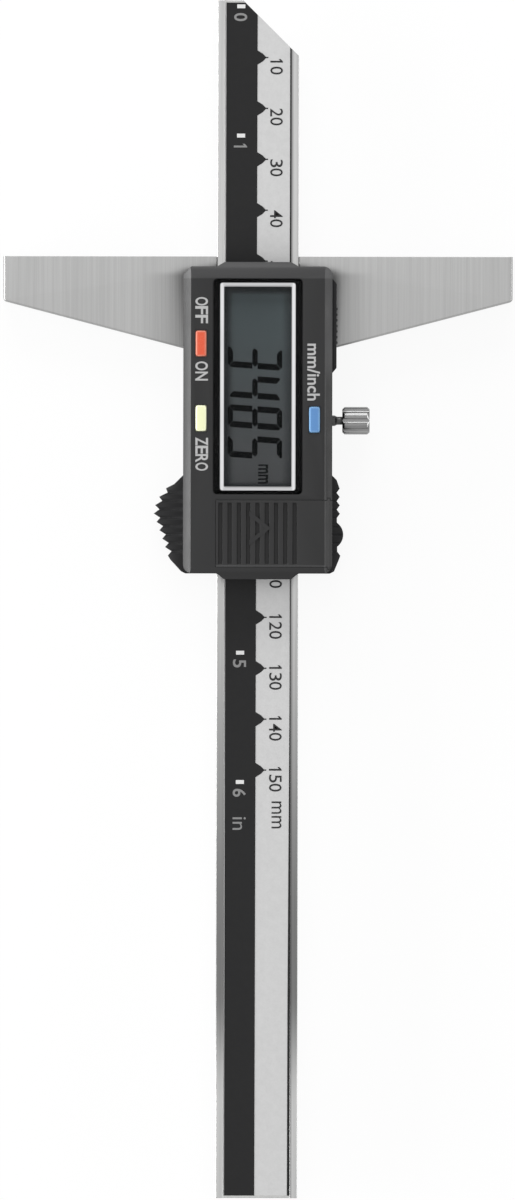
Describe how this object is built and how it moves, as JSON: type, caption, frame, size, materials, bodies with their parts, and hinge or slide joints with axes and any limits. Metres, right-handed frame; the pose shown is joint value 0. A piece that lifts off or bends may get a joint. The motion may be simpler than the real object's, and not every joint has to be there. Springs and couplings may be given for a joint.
{
  "type": "depth gauge",
  "caption": "Digital depth gauge: steel base and sliding steel rod with a printed scale, black display housing, coloured buttons, clamping screw and sliding battery cover.",
  "frame": {"origin": "middle of the measuring face's lower edge: X = 0 is the middle of the rod, Y = 0 is the measuring face and Z = 0 is the back plane that the gauge lies on", "axes": "+Y is the way the rod comes out, +Z is the display side, +X is the side of the clamping screw"},
  "size_m": [0.1, 0.2354, 0.0159],
  "materials": {
    "rod_steel": "fine ground steel, brushed along its length",
    "base_steel": "satin steel, brushed across the base",
    "frame_steel": "milled steel",
    "screw_steel": "bright screw steel",
    "knob_steel": "turned steel",
    "gib_bronze": "rolled bronze strip",
    "display_shell": "fine moulded black plastic",
    "back_shell": "moulded black plastic",
    "port_plastic": "moulded black plastic",
    "window_clear": "clear moulded plastic",
    "mask_print": "black print",
    "bezel_print": "white line",
    "lcd_glass": "grey display glass",
    "zebra_rubber": "soft contact rubber",
    "board_green": "green circuit board",
    "chip_resin": "black resin",
    "switch_plastic": "black switch body",
    "stem_plastic": "pale switch stem",
    "contact_gold": "gold plate",
    "spring_steel": "nickel-plated spring steel",
    "cell_steel": "bright cell can",
    "strip_fibre": "glass-fibre strip",
    "scale_print": "printed film, silver and black",
    "button_red": "red button",
    "button_yellow": "pale yellow button",
    "button_blue": "blue button",
    "pad_nylon": "nylon pad"
  },
  "bodies": {
    "rod": {"depth_rod": "rod_steel", "scale_strip": "strip_fibre", "scale_label": "scale_print", "rod_stop_screw": "screw_steel"},
    "head": {"measuring_base": "base_steel", "slider_frame": "frame_steel", "base_screws": "screw_steel", "gib_strip": "gib_bronze", "gib_screws": "screw_steel", "rear_cover": "back_shell", "housing_screws": "screw_steel", "front_housing": "display_shell", "window_mask": "mask_print", "window_plate": "window_clear", "display_bezel": "bezel_print", "lcd_panel": "lcd_glass", "zebra_strips": "zebra_rubber", "main_board": "board_green", "board_screws": "screw_steel", "chip_blob": "chip_resin", "switch_bodies": "switch_plastic", "data_contacts": "contact_gold", "battery_cell": "cell_steel", "battery_plus_contact": "spring_steel", "battery_minus_contact": "spring_steel"},
    "power_button": {"power_button": "button_red", "power_switch_stem": "stem_plastic"},
    "zero_button": {"zero_button": "button_yellow", "zero_switch_stem": "stem_plastic"},
    "unit_button": {"unit_button": "button_blue", "unit_switch_stem": "stem_plastic"},
    "lock_pad": {"lock_pad": "pad_nylon"},
    "lock_screw": {"lock_screw": "knob_steel"},
    "battery_cover": {"battery_cover": "display_shell"},
    "port_cover": {"port_cover": "port_plastic"}
  },
  "joints": [
    {"name": "rod_slide", "type": "slide", "parent": "head", "child": "rod", "axis": [0, 1, 0], "range_m": [-0.0504, 0.0998]},
    {"name": "lock_pad_slide", "type": "slide", "parent": "head", "child": "lock_pad", "axis": [1, 0, 0], "range_m": [-0.00009, 0.00135]},
    {"name": "lock_turn", "type": "hinge", "parent": "lock_pad", "child": "lock_screw", "pos_m": [0.0172, -0.03221, 0.0052], "axis": [1, 0, 0], "range_deg": [-72.5, 1081]},
    {"name": "power_button_press", "type": "slide", "parent": "head", "child": "power_button", "axis": [0, 0, -1], "range_m": [0, 0.0004], "stiffness_N_per_m": 400, "springref_m": -0.002},
    {"name": "zero_button_press", "type": "slide", "parent": "head", "child": "zero_button", "axis": [0, 0, -1], "range_m": [0, 0.0004], "stiffness_N_per_m": 400, "springref_m": -0.002},
    {"name": "unit_button_press", "type": "slide", "parent": "head", "child": "unit_button", "axis": [0, 0, -1], "range_m": [0, 0.0004], "stiffness_N_per_m": 400, "springref_m": -0.002},
    {"name": "battery_cover_slide", "type": "slide", "parent": "head", "child": "battery_cover", "axis": [1, 0, 0], "range_m": [0, 0.025]},
    {"name": "port_cover_slide", "type": "slide", "parent": "head", "child": "port_cover", "axis": [0, 1, 0], "range_m": [0, 0.0215]}
  ],
  "couplings": [
    {"joint": "lock_turn", "follows": "lock_pad_slide", "rad_per_m": 13963}
  ]
}
